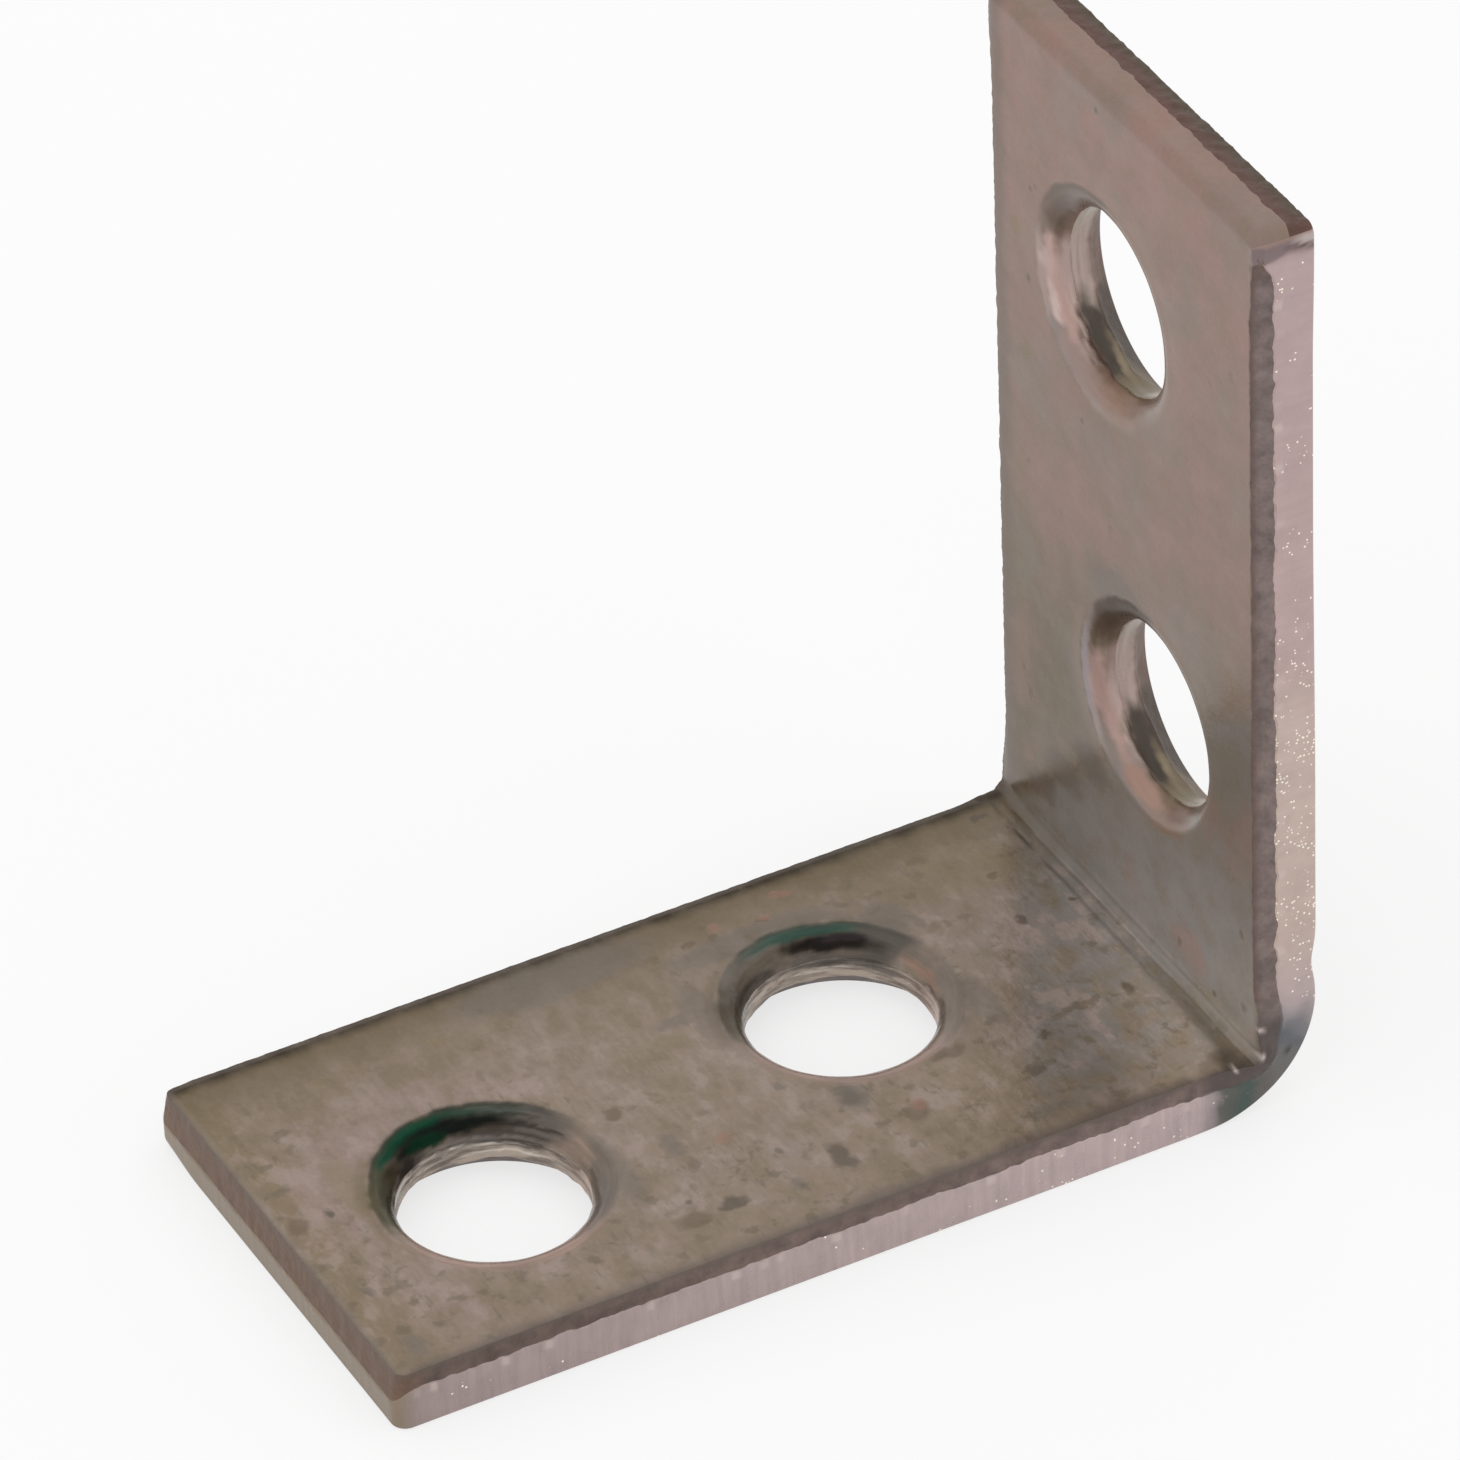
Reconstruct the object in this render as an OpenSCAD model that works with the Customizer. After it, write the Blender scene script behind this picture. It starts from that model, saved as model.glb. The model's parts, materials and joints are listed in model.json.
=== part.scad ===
// Pressed steel angle iron: a short strip, punched, cropped to length and folded to a right angle.
// The foot leg lies on its outer face, and the wall leg stands up at the end of it.

/* [Strip] */
// Width of the strip, across both legs
strip_w = 12.7; // [11:0.1:20]
// Thickness of the strip
strip_t = 1.6; // [1.4:0.1:2.4]
// Length of the foot leg, from the wall leg's outer face to its free end
foot_len = 25; // [24:0.2:40]
// Height of the wall leg, from the foot leg's underside to its free end
wall_len = 25.6; // [24:0.2:40]
// Radius of the four corners at the free ends, seen square on to the leg
corner_r = 0.5; // [0.2:0.1:1.2]

/* [Fold] */
// Radius inside the fold, pressed nearly sharp
fold_in_r = 0.4; // [0.2:0.1:1]
// Radius outside the fold
fold_out_r = 3; // [2:0.1:3.6]

/* [Screw holes] */
// Diameter of the smooth band inside a hole
hole_d = 4.75; // [3.5:0.05:5]
// Diameter of a hole's rounded mouth, where the punch went in
mouth_d = 6.2; // [5.4:0.05:6.8]
// Depth of the rounded mouth
mouth_depth = 0.45; // [0.3:0.05:0.55]
// Diameter of a hole on the outer face, where the slug tore out
breakout_d = 5.8; // [5.1:0.05:6]
// Height of the torn band, from the outer face
breakout_depth = 0.55; // [0.3:0.05:0.65]
// Foot leg: the wall leg's outer face to the nearer hole
foot_hole_1 = 9.2; // [8.6:0.1:9.8]
// Foot leg: the wall leg's outer face to the farther hole
foot_hole_2 = 19.7; // [18:0.1:20]
// Wall leg: the foot leg's underside to the nearer hole
wall_hole_1 = 8.5; // [8.2:0.1:9.5]
// Wall leg: the foot leg's underside to the farther hole
wall_hole_2 = 19.4; // [18:0.1:20]
// How far the holes step from side to side of their row
hole_stagger = 0.95; // [0:0.05:1.2]
// How far the row of holes sits off the middle of the strip
row_shift = -0.15; // [-0.4:0.05:0.4]

/* [Cut edges] */
// Radius of the edge that the blade rolled over
edge_roll_r = 0.2; // [0.1:0.05:0.35]
// Height of the smooth band along the long sides, from the outer face
side_smooth = 1.18; // [0.8:0.02:1.24]
// How far the torn band leans in along the long sides
side_lean = 0.22; // [0.05:0.01:0.4]
// Height of the smooth band at the foot leg's free end, from the outer face
foot_end_smooth = 0.76; // [0.5:0.02:1.2]
// How far the torn band leans in at the foot leg's free end
foot_end_lean = 0.12; // [0.04:0.01:0.3]
// Depth of the smooth band at the wall leg's free end, from the inner face
wall_end_smooth = 1; // [0.6:0.02:1.2]
// How far the torn band falls away at the wall leg's free end
wall_end_lean = 0.12; // [0.04:0.01:0.3]

/* [Hidden] */
$fn = 96;
// The cutting shapes reach this far into the open air
past = 0.6;
// The wall leg's outer face, its inner face, and the foot leg's free end
heel_x = foot_len / 2;
inner_x = heel_x - strip_t;
foot_end_x = heel_x - foot_len;
side_y = strip_w / 2;
bore_r = hole_d / 2;
mouth_r = mouth_d / 2;
breakout_r = breakout_d / 2;

// What comes off a square corner at the origin, with the metal to its upper left
module corner_waste(r) {
    difference() {
        translate([-r, -past]) square([r + past, r + past]);
        translate([-r, r]) circle(r);
    }
}

// The slope that a torn band leaves, for a face on the x axis with the metal below it
// and the end of that face at the origin
module torn_waste(depth, lean) {
    slope = lean / depth;
    polygon([
        [-lean - slope * past, past],
        [slope * past, -depth - past],
        [slope * past + past, past]
    ]);
}

// The strip seen from its side, folded, with both free ends as the shears left them
module side_outline() {
    difference() {
        union() {
            translate([foot_end_x, 0]) square([foot_len, strip_t]);
            translate([inner_x, 0]) square([strip_t, wall_len]);
            translate([inner_x - fold_in_r, strip_t]) difference() {
                square(fold_in_r);
                translate([0, fold_in_r]) circle(fold_in_r);
            }
        }
        translate([heel_x, 0]) corner_waste(fold_out_r);
        // The foot leg's end was sheared from the outer face
        translate([foot_end_x, 0]) mirror([1, 0]) corner_waste(edge_roll_r);
        translate([foot_end_x, strip_t]) mirror([1, 0])
            torn_waste(strip_t - foot_end_smooth, foot_end_lean);
        // The wall leg's end was sheared from the inner face
        translate([inner_x, wall_len]) rotate(180) corner_waste(edge_roll_r);
        translate([heel_x, wall_len]) rotate(-90) mirror([1, 0])
            torn_waste(strip_t - wall_end_smooth, wall_end_lean);
    }
}

// A section run along the foot leg, round a quarter turn and up the wall leg:
// its x is the distance from the turn's centre, and its y is across the strip
module along_strip(centre_x, centre_z) {
    translate([centre_x, 0, centre_z]) rotate([90, 0, 0]) rotate([0, 0, -90]) {
        rotate_extrude(angle = 90) children();
        rotate([90, 0, 0]) linear_extrude(foot_len) children();
        rotate([90, 0, 90]) translate([0, 0, -wall_len]) linear_extrude(wall_len) children();
    }
}

// What the blanking press took off one long side: a rolled edge on the outer face,
// and the lean of the torn band towards the inner face
module side_waste() {
    along_strip(heel_x - fold_out_r, fold_out_r)
        translate([fold_out_r, side_y]) rotate(90) corner_waste(edge_roll_r);
    tear = strip_t - side_smooth;
    slope = side_lean / tear;
    back = fold_in_r / 2;
    along_strip(inner_x - fold_in_r, strip_t + fold_in_r)
        polygon([
            [fold_in_r - back, side_y - side_lean - slope * back],
            [fold_in_r + tear + past, side_y + slope * past],
            [fold_in_r - back, side_y + slope * past]
        ]);
}

// What comes off the two corners of a free end: the end is on the y axis, with the metal at +x
module end_corner_waste() {
    for (flip = [0, 1])
        mirror([0, flip]) translate([0, -side_y]) mirror([1, 0]) corner_waste(corner_r);
}

// One punched hole, with the outer face at z = 0 and the punch coming down from +z:
// a rounded mouth, a smooth band, and a torn band that opens out
module punched_hole() {
    across = mouth_r - bore_r;
    lip_r = (across * across + mouth_depth * mouth_depth) / (2 * mouth_depth);
    flare = (breakout_r - bore_r) / breakout_depth;
    rotate_extrude() {
        translate([0, -past]) square([bore_r, strip_t + 2 * past]);
        difference() {
            translate([0, strip_t - mouth_depth]) square([mouth_r, mouth_depth + past]);
            translate([mouth_r, strip_t - lip_r]) circle(lip_r);
        }
        polygon([
            [0, -past],
            [breakout_r + flare * past, -past],
            [bore_r, breakout_depth],
            [0, breakout_depth]
        ]);
    }
}

module angle_iron() {
    color([0.56, 0.51, 0.47]) difference() {
        rotate([90, 0, 0]) linear_extrude(strip_w, center = true) side_outline();
        side_waste();
        mirror([0, 1, 0]) side_waste();
        translate([foot_end_x, 0, -past]) linear_extrude(strip_t + 2 * past) end_corner_waste();
        translate([inner_x - past, 0, wall_len]) rotate([0, 90, 0])
            linear_extrude(strip_t + 2 * past) end_corner_waste();
        // The holes step from side to side, from the foot leg's end to the wall leg's end
        translate([heel_x - foot_hole_2, row_shift - hole_stagger, 0]) punched_hole();
        translate([heel_x - foot_hole_1, row_shift + hole_stagger, 0]) punched_hole();
        translate([heel_x, row_shift - hole_stagger, wall_hole_1]) rotate([0, -90, 0]) punched_hole();
        translate([heel_x, row_shift + hole_stagger, wall_hole_2]) rotate([0, -90, 0]) punched_hole();
    }
}

angle_iron();
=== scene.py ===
import json
import math
import bmesh
import bpy
from mathutils import Matrix, Vector, noise
from mathutils.geometry import delaunay_2d_cdt


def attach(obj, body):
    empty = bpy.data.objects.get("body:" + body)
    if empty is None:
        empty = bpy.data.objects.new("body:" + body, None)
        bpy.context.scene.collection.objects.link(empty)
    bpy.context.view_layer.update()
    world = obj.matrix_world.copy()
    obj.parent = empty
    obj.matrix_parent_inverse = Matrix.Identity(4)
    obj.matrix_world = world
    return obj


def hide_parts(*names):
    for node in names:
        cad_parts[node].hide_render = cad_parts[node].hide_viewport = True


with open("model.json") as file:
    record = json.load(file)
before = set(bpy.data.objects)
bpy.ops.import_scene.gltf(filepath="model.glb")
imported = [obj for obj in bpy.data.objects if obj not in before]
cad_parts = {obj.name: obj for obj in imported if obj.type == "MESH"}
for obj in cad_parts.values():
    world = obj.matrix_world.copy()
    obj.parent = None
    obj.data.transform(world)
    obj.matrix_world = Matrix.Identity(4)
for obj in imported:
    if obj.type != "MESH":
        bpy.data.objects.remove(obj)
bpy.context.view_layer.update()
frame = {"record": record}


# The camera looks down on the inside of the bracket from its near left, with a long lens held close,
# as the photograph was taken. The far corner of the wall leg runs out of the top of the frame.
AIM = Vector((-0.00009, -0.00055, 0.01210))
AZIMUTH, ELEVATION, ROLL = math.radians(-27.076), math.radians(37.085), math.radians(-2.293)
DISTANCE, LENS = 0.27444, 287.6
back = Vector((
    math.sin(AZIMUTH) * math.cos(ELEVATION),
    -math.cos(AZIMUTH) * math.cos(ELEVATION),
    math.sin(ELEVATION),
))
right = Vector((0, 0, 1)).cross(back).normalized()
facing = Matrix((right, back.cross(right), back)).transposed() @ Matrix.Rotation(ROLL, 3, "Z")
camera = bpy.data.objects.new("camera", bpy.data.cameras.new("camera"))
camera.matrix_world = Matrix.Translation(AIM + back * DISTANCE) @ facing.to_4x4()
camera.data.sensor_width = 36
camera.data.lens = LENS
camera.data.clip_start = 0.01
bpy.context.scene.collection.objects.link(camera)
bpy.context.scene.camera = camera
bpy.context.scene.view_settings.view_transform = "Standard"


# The strip: mild steel 12.7 mm wide and 1.6 mm thick, cropped to length and pressed to a right angle.
# It is drawn flat, in millimetres, and folded at the end: s runs along it from the foot leg's free end
# to the wall leg's, v across it with the near side at minus, and n up from the outer face.
WIDTH, THICK = 12.7, 1.6
FOOT, WALL = 25.0, 25.6
INSIDE_R, OUTSIDE_R = 0.4, 3.0
FOOT_FLAT = FOOT - OUTSIDE_R
STUB = OUTSIDE_R - THICK - INSIDE_R
BEND = 2 * STUB + INSIDE_R * math.pi / 2
WALL_FLAT = FOOT_FLAT + BEND
LENGTH = WALL_FLAT + WALL - OUTSIDE_R
HEEL = FOOT / 2
CREASE = FOOT_FLAT + BEND / 2


def fold(s, v, n):
    """Takes a point of the flat strip to its place on the folded one, in metres."""
    if s < FOOT_FLAT:
        x, z = s - HEEL, n
    elif s > WALL_FLAT:
        x, z = HEEL - n, OUTSIDE_R + s - WALL_FLAT
    else:
        along = s - FOOT_FLAT
        sweep = along / BEND * math.pi / 2
        outer_x = HEEL - OUTSIDE_R + OUTSIDE_R * math.sin(sweep)
        outer_z = OUTSIDE_R - OUTSIDE_R * math.cos(sweep)
        sweep = min(max((along - STUB) / INSIDE_R, 0), math.pi / 2)
        inner_x = HEEL - OUTSIDE_R + min(along, STUB) + INSIDE_R * math.sin(sweep)
        inner_z = THICK + INSIDE_R * (1 - math.cos(sweep)) + max(along - BEND + STUB, 0)
        x = outer_x + (inner_x - outer_x) * n / THICK
        z = outer_z + (inner_z - outer_z) * n / THICK
    return Vector((x, v, z)) / 1000


def ease(low, high, x):
    """Rises smoothly from 0 at low to 1 at high."""
    t = min(max((x - low) / (high - low), 0), 1)
    return t * t * (3 - 2 * t)


def hump(middle, half_width, x):
    """A smooth hump of height 1."""
    return math.exp(-((x - middle) / half_width) ** 2)


def wave(x, y, z):
    """Smooth unevenness between about -1 and 1, with humps one unit apart."""
    return noise.noise(Vector((x, y, z)))


# The screw holes were punched from the inner face. The metal round each mouth was drawn down and in,
# the punch burnished the middle, and the slug tore out through the outer face.
FOOT_MOUTH_R, WALL_MOUTH_R = 3.1, 3.08
BORE_R, BREAKOUT_R, TEAR_STEP = 2.375, 2.9, 0.05
MOUTH_DEPTH, BREAKOUT_DEPTH = 0.45, 0.55
MOUTH_ROWS, BORE_ROWS, TORN_ROWS = 14, 12, 5
HOLE_ROWS = MOUTH_ROWS + BORE_ROWS + TORN_ROWS
HOLE_COLUMNS = 180
holes = []
for mount in frame["record"]["mounts"]:
    if mount["kind"] == "bore":
        x, y, z = (1000 * value for value in mount["pos_m"])
        on_foot = abs(mount["axis"][2]) > 0.5
        holes.append((x + HEEL if on_foot else WALL_FLAT + z - OUTSIDE_R, y, on_foot))


def mouth_radius(angle, on_foot):
    """The mouth is drawn in a little further on the side that the punch leaned to."""
    if on_foot:
        reach = FOOT_MOUTH_R + 0.22 * max(math.cos(angle - 1.5), 0) ** 2
        reach -= 0.15 * max(math.cos(angle - 3), 0) ** 2
    else:
        reach = WALL_MOUTH_R + 0.2 * ease(-0.2, 1, math.cos(angle - 2))
    return reach + 0.03 * wave(math.cos(angle) * 2, math.sin(angle) * 2, 8)


def hole_point(row, angle, on_foot, seed):
    """Radius and depth below the inner face, on one row down a hole."""
    x, y = math.cos(angle), math.sin(angle)
    # The mouth is part of a circle, with faint ledges where the metal was drawn down
    mouth = mouth_radius(angle, on_foot)
    across = mouth - BORE_R
    lip = (across * across + MOUTH_DEPTH * MOUTH_DEPTH) / (2 * MOUTH_DEPTH)
    if row <= MOUTH_ROWS:
        down = row / MOUTH_ROWS
        sweep = down * math.asin(across / lip)
        ledges = 0.025 * wave(x * 5, y * 5, seed + down * 3) + 0.02 * wave(x * 1.3, y * 1.3 + seed, down * 8)
        return mouth - lip * math.sin(sweep) + ledges * down, lip * (1 - math.cos(sweep))
    # The burnished bore has rings down to where the slug broke away, deep ones on the foot leg
    broken = THICK - BREAKOUT_DEPTH + 0.08 * wave(x * 3, y * 3, seed + 5) + 0.03 * wave(x * 9, y * 9, seed)
    row -= MOUTH_ROWS
    if row <= BORE_ROWS:
        start = MOUTH_DEPTH + 0.03 + 0.05 * wave(x * 6, y * 6, seed + 2) + 0.025 * wave(x * 19, y * 19, seed)
        depth = start + (broken - start) * (row - 1) / (BORE_ROWS - 1)
        drifted = depth + 0.05 * wave(x * 1.5, y * 1.5, seed)
        rings = 0.03 * wave(seed * 3.1 + x * 0.9, y * 0.9, drifted * 6)
        rings += 0.012 * wave(x * 5, y * 5, depth * 12)
        if not on_foot:
            return BORE_R + 0.25 * rings, depth
        ridge = math.sin((drifted + 0.02 * wave(x * 2, y * 2, seed)) * 30)
        rings += 0.024 * ridge * ease(-0.2, 0.3, wave(x * 1.4, y * 1.4, depth * 3))
        return BORE_R + rings, depth
    # The torn band opens out to the outer face
    down = (row - BORE_ROWS) / TORN_ROWS
    tear = 0.05 * wave(x * 11, y * 11, seed + down * 3) * math.sin(math.pi * min(down + 0.2, 1))
    flare = (BREAKOUT_R - BORE_R - TEAR_STEP) * down
    return BORE_R + TEAR_STEP + flare + tear, broken + (THICK - broken) * down


def linear(hex_colour):
    """An sRGB hex colour as linear red, green, blue and alpha."""
    parts = [int(hex_colour[i:i + 2], 16) / 255 for i in (1, 3, 5)]
    return [p / 12.92 if p <= 0.04045 else ((p + 0.055) / 1.055) ** 2.4 for p in parts] + [1]


def between(stops, x):
    """Reads colour and strength off a list of stops: place, hex colour, strength."""
    for (x0, colour0, a0), (x1, colour1, a1) in zip(stops, stops[1:]):
        if x <= x1:
            t = ease(x0, x1, x)
            mixed = [p + (q - p) * t for p, q in zip(linear(colour0), linear(colour1))]
            return mixed[:3] + [a0 + (a1 - a0) * t]
    return linear(stops[-1][1])[:3] + [stops[-1][2]]


def laid(film, tone, strength):
    """Lays one more colour over a film: dirt, painted shade and painted highlights are laid this way. A film
    is a linear colour and its strength.
    """
    both = strength + film[3] * (1 - strength)
    if both < 0.001:
        return film
    mixed = [(o * strength + u * film[3] * (1 - strength)) / both for o, u in zip(linear(tone), film[:3])]
    return mixed + [both]


CLEAR = [0.3, 0.25, 0.2, 0]
# Patches of film in the holes, laid one over another: the angle from the strip's run towards its far
# side and the half angle, how far down the mouth and half that reach (past 1 is the bore), the colour
# and the strength. In the foot's mouths the black and green across the far side are a painted dark
# reflection, the dark patches low on the near side and in the bore are painted shade, and the pale
# narrow bands in the bore are painted highlights on its rings.
FOOT_MOUTHS = [
    # The second patch is painted shade
    (0, 400, 0.55, 0.6, "#776a5c", 0.5), (-25, 44, 0.5, 0.45, "#63584f", 0.7),
    (-16, 26, 1.5, 0.5, "#ac8e7e", 0.8), (-112, 60, 0.45, 0.7, "#9a7d70", 0.85),
]
OUTER_MOUTH = [
    (-40, 18, 0.4, 0.3, "#635850", 0.7), (12, 20, 0.68, 0.3, "#8d7767", 0.8),
    (46, 24, 0.5, 0.7, "#5b534e", 0.9), (158, 30, 0.35, 0.7, "#48432b", 0.95),
    (148, 28, 0.75, 0.36, "#393322", 0.95), (94, 50, 0.1, 0.25, "#31362b", 0.95),
    # The next four patches, grey green, green, black and green black, are painted dark reflection
    (66, 18, 0.3, 0.18, "#474e46", 0.9), (106, 32, 0.32, 0.2, "#103d2a", 1.0),
    (88, 40, 0.6, 0.26, "#141814", 1.0), (102, 10, 0.7, 0.18, "#0c2a1b", 1.0),
    (80, 40, 1.0, 0.12, "#655d56", 0.9), (62, 14, 0.04, 0.16, "#3a3b32", 0.9),
    (60, 13, 0.72, 0.13, "#423a33", 0.8), (63, 15, 0.9, 0.09, "#6a605a", 0.9),
    (122, 18, 0.92, 0.2, "#2e2925", 1.0), (142, 13, 0.9, 0.1, "#5a5049", 0.9),
    # The first patch here is painted shade in the bore
    (66, 34, 1.18, 0.2, "#4f4943", 0.7), (56, 22, 0.38, 0.05, "#332e2a", 0.6),
    (46, 24, 0.62, 0.06, "#332d29", 0.7), (58, 30, 0.86, 0.06, "#39322e", 0.8),
    # These two pale bands are painted highlights on the bore's rings
    (100, 50, 1.24, 0.09, "#d0c6bb", 0.8), (84, 60, 1.52, 0.08, "#d0c6bb", 0.7),
]
INNER_MOUTH = [
    (-38, 18, 0.15, 0.45, "#6a5d50", 0.7), (4, 18, 0.72, 0.16, "#8d6d5c", 0.8),
    (42, 20, 0.45, 0.7, "#504b45", 0.9), (122, 36, 0.45, 0.6, "#5f5950", 0.9),
    (160, 22, 0.4, 0.7, "#4c4232", 0.9), (80, 34, 0.1, 0.2, "#3b453b", 0.9),
    # These two, green and near black, are painted dark reflection
    (82, 27, 0.28, 0.17, "#355145", 1.0), (68, 28, 0.62, 0.25, "#241f1c", 1.0),
    (60, 12, 0.5, 0.1, "#3b3336", 0.8), (114, 20, 0.6, 0.26, "#6c6358", 0.85),
    (130, 27, 0.85, 0.2, "#4c453e", 0.9), (122, 15, 0.92, 0.1, "#6a615a", 0.9),
    # The second patch here is painted shade in the bore
    (80, 16, 0.92, 0.09, "#57504b", 0.8), (62, 32, 1.15, 0.28, "#4a443f", 0.8),
    # These two pale bands are painted highlights on the bore's rings
    (112, 42, 1.14, 0.08, "#c0b8ae", 0.6), (96, 56, 1.44, 0.08, "#c9bfb4", 0.6),
]
# The punch rubbed the wall's mouths pale and pink, with painted highlights on the pink, and left them
# cracked below. The grey and dark at the top of each mouth is painted shade.
WALL_MOUTHS = [
    # The two dark grey patches at the top, at 26 and 36 degrees, are painted shade
    (0, 400, 0.5, 0.62, "#8c7c70", 0.3), (26, 34, 0.06, 0.22, "#4c3f36", 0.9),
    (36, 44, 0.5, 0.5, "#5f4f44", 0.9), (182, 30, 0.35, 0.55, "#93796a", 0.8),
    (182, 28, 0.9, 0.2, "#75604f", 0.8), (144, 36, 0.12, 0.3, "#857d79", 0.8),
    (104, 26, 0.1, 0.22, "#9c8c87", 0.9), (148, 28, 0.6, 0.42, "#92827a", 0.85),
    (104, 24, 0.52, 0.26, "#bea19a", 0.9), (124, 26, 0.68, 0.2, "#b5968d", 0.9),
    (203, 18, 0.75, 0.36, "#745b4d", 0.8), (100, 26, 1.0, 0.3, "#b39a93", 0.9),
    (96, 26, 1.5, 0.6, "#b09b95", 0.9), (0, 400, 2.15, 0.4, "#6e554a", 0.95),
    (152, 36, 1.3, 0.32, "#43392f", 1.0), (138, 18, 1.5, 0.34, "#4b4239", 1.0),
    (146, 34, 2.1, 0.45, "#463a30", 0.95), (168, 26, 1.68, 0.2, "#85775f", 0.8),
    (186, 22, 2.0, 0.4, "#6f5f4c", 0.85), (189, 17, 1.4, 0.5, "#75684f", 0.85),
]
LOWER_MOUTH = [
    # The first patch, dark at the top, is painted shade
    (28, 34, 0.5, 0.5, "#50443c", 0.6), (112, 26, 0.08, 0.22, "#b09f96", 0.8),
    (165, 18, 0.6, 0.3, "#a37f6e", 0.8), (96, 30, 0.06, 0.22, "#908489", 0.7),
]
UPPER_MOUTH = [
    # The two grey patches at the top are painted shade
    (40, 36, 0.12, 0.25, "#75665c", 0.7), (34, 38, 0.62, 0.4, "#74655d", 0.6),
    # The palest pink patches on this line are painted highlights
    (104, 22, 0.08, 0.2, "#a88f87", 0.8), (118, 9, 0.42, 0.14, "#cfb6b0", 0.8),
    (96, 7, 0.3, 0.2, "#c4aca6", 0.6), (158, 30, 0.92, 0.19, "#5e493e", 0.85),
    (182, 26, 0.66, 0.3, "#8a6c5b", 0.6), (160, 26, 0.3, 0.3, "#9d8078", 0.5),
]
PATCHES = (
    FOOT_MOUTHS + OUTER_MOUTH,
    FOOT_MOUTHS + INNER_MOUTH,
    WALL_MOUTHS + LOWER_MOUTH,
    WALL_MOUTHS + UPPER_MOUTH,
)
# Round each mouth the face is darkened olive on the foot leg and paled on the wall leg: angle, half angle,
# reach, colour and strength
RIMS = (
    [(162, 44, 0.5, "#6a5b40", 0.65)],
    [(152, 36, 0.5, "#695a44", 0.6), (52, 32, 0.45, "#6b5f54", 0.55), (-42, 30, 0.4, "#6b5d4e", 0.5)],
    [(112, 60, 0.7, "#9c887e", 0.5)],
    [(112, 60, 0.7, "#9c887e", 0.3)],
)


def hole_film(number, angle, row):
    """The film at one point of a hole."""
    if row > MOUTH_ROWS + BORE_ROWS and holes[number][2]:
        return CLEAR
    x, y = math.cos(angle), math.sin(angle)
    degrees = math.degrees(angle) + 7 * wave(x * 4, y * 4, number + row * 0.15)
    degrees += 4 * wave(x * 12, y * 12, number + row * 0.4)
    t = row / MOUTH_ROWS + 0.07 * wave(x * 5, y * 5, number * 5) + 0.05 * wave(x * 13, y * 13, number)
    film = CLEAR
    for at, wide, deep, tall, tone, most in PATCHES[number]:
        off = (degrees - at + 180) % 360 - 180
        reach = math.hypot(off / wide, (t - deep) / tall) + 0.15 * wave(x * 7, y * 7, number + deep * 9)
        film = laid(film, tone, most * (1 - ease(0.55, 1.35, reach)))
    if not holes[number][2]:
        crack = hump(MOUTH_ROWS + 0.6 + 1.6 * wave(x * 6, y * 6, number), 0.9, row)
        crack *= ease(112, 135, degrees) * (1 - ease(165, 190, degrees))
        edge = hump(MOUTH_ROWS - 1.2 + 1.6 * wave(x * 6, y * 6, number), 0.7, row)
        edge *= ease(100, 120, degrees) * (1 - ease(140, 165, degrees))
        film = laid(film, "#c9b3a6", 0.5 * edge)
        film = laid(film, "#43312a", 0.9 * crack)
    return film[:3] + [film[3] * ease(-0.06, 0.1, t)]


# The long sides were blanked from the outer face and the two free ends cropped, so every cut edge has
# a rolled corner, a burnished band and a torn band. The wall leg's end was cropped from the inner face.
CORNER_R, ROLL_R = 0.4, 0.08
SIDE_SMOOTH, FOOT_LEAN, WALL_LEAN = 1.15, 0.12, 0.28
FOOT_END_SMOOTH, WALL_END_SMOOTH, END_LEAN = 0.76, 0.95, 0.12
LEDGE, END_ROLL_R = 0.045, 0.34
# The rows of points down an edge: where the torn band and the burnished one end on the sides and on the
# foot leg's end, and where the roll and the burnished band end on the wall leg's end
EDGE_ROWS, TEAR_END, BAND_END = 20, 8, 15
ROLL_END, SMOOTH_END = 4, 12
# The shear rubbed the sides this far down from the wall leg's end
END_ZONE = 0.8


def torn_slope(along, down, seed):
    """The crumbled surface of a torn band."""
    coarse = 0.04 * wave(along * 3.5, down * 1.6, seed)
    return coarse + 0.028 * wave(along * 9, down * 4, seed + 4)


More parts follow.
